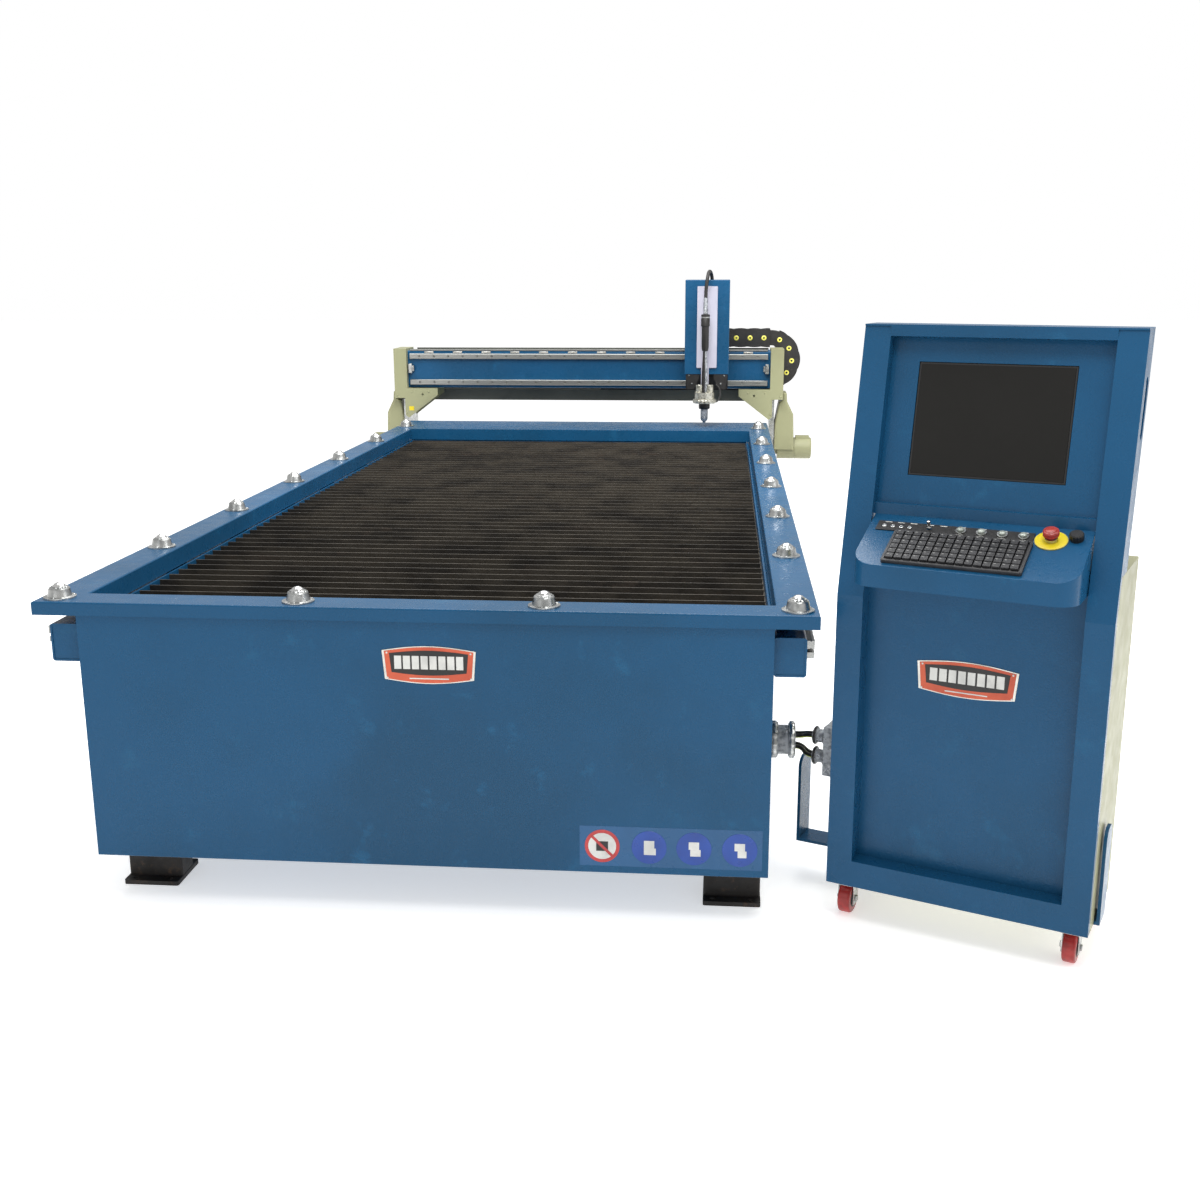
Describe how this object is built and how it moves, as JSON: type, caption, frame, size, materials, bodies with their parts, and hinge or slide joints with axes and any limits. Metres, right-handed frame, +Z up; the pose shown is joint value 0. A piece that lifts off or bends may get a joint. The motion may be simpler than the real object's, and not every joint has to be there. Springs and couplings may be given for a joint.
{
  "type": "plasma cutting table",
  "caption": "Gantry plasma cutting table with a slatted tank, ball-transfer rim, lifting torch, cable chain and a cabled rolling operator console",
  "frame": {"origin": "on the floor under the centre of the table, at the underside of its middle leg", "axes": "+Z up, +Y along the table towards the parked gantry, +X towards the console side"},
  "size_m": [2.9434, 4.8503, 1.611],
  "materials": {
    "blue_paint": "satin blue with a light orange peel",
    "panel_paint": "satin light beige",
    "cover_paint": "matt grey",
    "dark_steel": "matt black",
    "slat_steel": "dark mill scale",
    "ground_steel": "ground",
    "ball_chrome": "polished",
    "slide_paint": "light lilac grey",
    "chain_plastic": "moulded",
    "clamp_metal": "machined",
    "torch_plastic": "moulded",
    "nozzle_metal": "worn",
    "lead_rubber": "matt",
    "gland_metal": "nickel plated",
    "monitor_plastic": "dark",
    "key_plastic": "dark",
    "button_grey": "gloss",
    "button_red": "gloss",
    "caster_steel": "zinc plated",
    "caster_red": "polyurethane"
  },
  "bodies": {
    "table": {"ball_housings": "ground_steel", "transfer_balls": "ball_chrome", "rim_front": "blue_paint", "rim_rear": "blue_paint", "rim_sides": "blue_paint", "tank_front": "blue_paint", "tank_panels": "blue_paint", "side_beams": "blue_paint", "slats": "slat_steel", "slat_combs": "slat_steel", "support_legs": "dark_steel", "long_rails": "ground_steel", "gear_racks": "ground_steel", "console_cabinet": "panel_paint", "console_frame": "blue_paint", "console_cables": "lead_rubber", "cable_glands": "gland_metal", "monitor": "monitor_plastic", "keyboard_shelf": "blue_paint", "keyboard_base": "key_plastic", "control_plate": "key_plastic", "button_rings": "ball_chrome", "side_guards": "blue_paint"},
    "gantry": {"travel_feet": "ground_steel", "end_plates": "panel_paint", "gantry_beam": "blue_paint", "beam_rails": "ground_steel", "rear_cover": "cover_paint", "drive_housings": "panel_paint", "drive_motors": "panel_paint", "chain_lower_run": "chain_plastic"},
    "pinions": {"drive_pinions": "ground_steel"},
    "carriage": {"carriage": "dark_steel", "z_housing": "blue_paint", "housing_brackets": "dark_steel", "chain_outer_run": "chain_plastic"},
    "chain_middle": {"chain_middle_run": "chain_plastic"},
    "chain_inner": {"chain_inner_run": "chain_plastic"},
    "screw": {"lift_screw": "ground_steel"},
    "torch": {"slide_plate": "slide_paint", "torch_clamp": "clamp_metal", "torch_body": "torch_plastic", "torch_nozzle": "nozzle_metal", "torch_lead": "lead_rubber"},
    "keys": {"keyboard_keys": "key_plastic"},
    "cycle": {"cycle_button": "button_grey"},
    "pause": {"pause_button": "button_grey"},
    "stop": {"stop_button": "button_grey"},
    "reset": {"reset_button": "button_grey"},
    "estop": {"estop_button": "button_red"},
    "toggle": {"toggle_lever": "ball_chrome"},
    "door": {"cabinet_door": "panel_paint"},
    "fork_front_left": {"caster_fork_front_left": "caster_steel"},
    "wheel_front_left": {"caster_wheel_front_left": "caster_red"},
    "fork_front_right": {"caster_fork_front_right": "caster_steel"},
    "wheel_front_right": {"caster_wheel_front_right": "caster_red"},
    "fork_rear_left": {"caster_fork_rear_left": "caster_steel"},
    "wheel_rear_left": {"caster_wheel_rear_left": "caster_red"},
    "fork_rear_right": {"caster_fork_rear_right": "caster_steel"},
    "wheel_rear_right": {"caster_wheel_rear_right": "caster_red"}
  },
  "joints": [
    {"name": "gantry_travel", "type": "slide", "parent": "table", "child": "gantry", "axis": [0, 1, 0], "range_m": [-3.7, 0]},
    {"name": "pinion_spin", "type": "hinge", "parent": "gantry", "child": "pinions", "pos_m": [0, 2.285, 0.655], "axis": [1, 0, 0], "range_deg": [-6240, 90]},
    {"name": "carriage_travel", "type": "slide", "parent": "gantry", "child": "carriage", "axis": [1, 0, 0], "range_m": [-1.45, 0.05]},
    {"name": "chain_middle_slide", "type": "slide", "parent": "gantry", "child": "chain_middle", "axis": [1, 0, 0], "range_m": [-1.0875, 0.0375]},
    {"name": "chain_inner_slide", "type": "slide", "parent": "gantry", "child": "chain_inner", "axis": [1, 0, 0], "range_m": [-0.725, 0.025]},
    {"name": "torch_lift", "type": "slide", "parent": "carriage", "child": "torch", "axis": [0, 0, 1], "range_m": [-0.015, 0.13]},
    {"name": "screw_spin", "type": "hinge", "parent": "carriage", "child": "screw", "pos_m": [0.65, 2.07, 1.1], "axis": [0, 0, 1], "range_deg": [-4690, 545]},
    {"name": "keys_press", "type": "slide", "parent": "table", "child": "keys", "axis": [0.1702, 0.3877, -0.9059], "range_m": [0, 0.0015], "stiffness_N_per_m": 400, "springref_m": -0.002},
    {"name": "toggle_tilt", "type": "hinge", "parent": "table", "child": "toggle", "pos_m": [1.21534, -2.09413, 1.02731], "axis": [0.9157, -0.4019, 0], "range_deg": [-18, 18]},
    {"name": "door_swing", "type": "hinge", "parent": "table", "child": "door", "pos_m": [1.69102, -1.98824, 0.534], "axis": [0, 0, -1], "range_deg": [0, 110]},
    {"name": "cycle_press", "type": "slide", "parent": "table", "child": "cycle", "axis": [0.1702, 0.3877, -0.9059], "range_m": [0, 0.002], "stiffness_N_per_m": 300, "springref_m": -0.002},
    {"name": "pause_press", "type": "slide", "parent": "table", "child": "pause", "axis": [0.1702, 0.3877, -0.9059], "range_m": [0, 0.002], "stiffness_N_per_m": 300, "springref_m": -0.002},
    {"name": "stop_press", "type": "slide", "parent": "table", "child": "stop", "axis": [0.1702, 0.3877, -0.9059], "range_m": [0, 0.002], "stiffness_N_per_m": 300, "springref_m": -0.002},
    {"name": "reset_press", "type": "slide", "parent": "table", "child": "reset", "axis": [0.1702, 0.3877, -0.9059], "range_m": [0, 0.002], "stiffness_N_per_m": 300, "springref_m": -0.002},
    {"name": "estop_press", "type": "slide", "parent": "table", "child": "estop", "axis": [0.1702, 0.3877, -0.9059], "range_m": [0, 0.005], "stiffness_N_per_m": 600, "springref_m": -0.003},
    {"name": "swivel_front_left", "type": "hinge", "parent": "table", "child": "fork_front_left", "pos_m": [1.06868, -2.00282, 0.09], "axis": [0, 0, 1], "continuous": true},
    {"name": "roll_front_left", "type": "hinge", "parent": "fork_front_left", "child": "wheel_front_left", "pos_m": [1.07752, -1.98267, 0.04], "axis": [0.9157, -0.4019, 0], "continuous": true},
    {"name": "swivel_front_right", "type": "hinge", "parent": "table", "child": "fork_front_right", "pos_m": [1.57595, -2.2255, 0.09], "axis": [0, 0, 1], "continuous": true},
    {"name": "roll_front_right", "type": "hinge", "parent": "fork_front_right", "child": "wheel_front_right", "pos_m": [1.5848, -2.20535, 0.04], "axis": [0.9157, -0.4019, 0], "continuous": true},
    {"name": "swivel_rear_left", "type": "hinge", "parent": "table", "child": "fork_rear_left", "pos_m": [1.1555, -1.80503, 0.09], "axis": [0, 0, 1], "continuous": true},
    {"name": "roll_rear_left", "type": "hinge", "parent": "fork_rear_left", "child": "wheel_rear_left", "pos_m": [1.16434, -1.78489, 0.04], "axis": [0.9157, -0.4019, 0], "continuous": true},
    {"name": "swivel_rear_right", "type": "hinge", "parent": "table", "child": "fork_rear_right", "pos_m": [1.66277, -2.02771, 0.09], "axis": [0, 0, 1], "continuous": true},
    {"name": "roll_rear_right", "type": "hinge", "parent": "fork_rear_right", "child": "wheel_rear_right", "pos_m": [1.67162, -2.00757, 0.04], "axis": [0.9157, -0.4019, 0], "continuous": true}
  ],
  "couplings": [
    {"joint": "pinion_spin", "follows": "gantry_travel", "rad_per_m": 29.412},
    {"joint": "chain_middle_slide", "follows": "carriage_travel", "ratio": 0.75},
    {"joint": "chain_inner_slide", "follows": "carriage_travel", "ratio": 0.5},
    {"joint": "screw_spin", "follows": "torch_lift", "rad_per_m": -628.32}
  ]
}
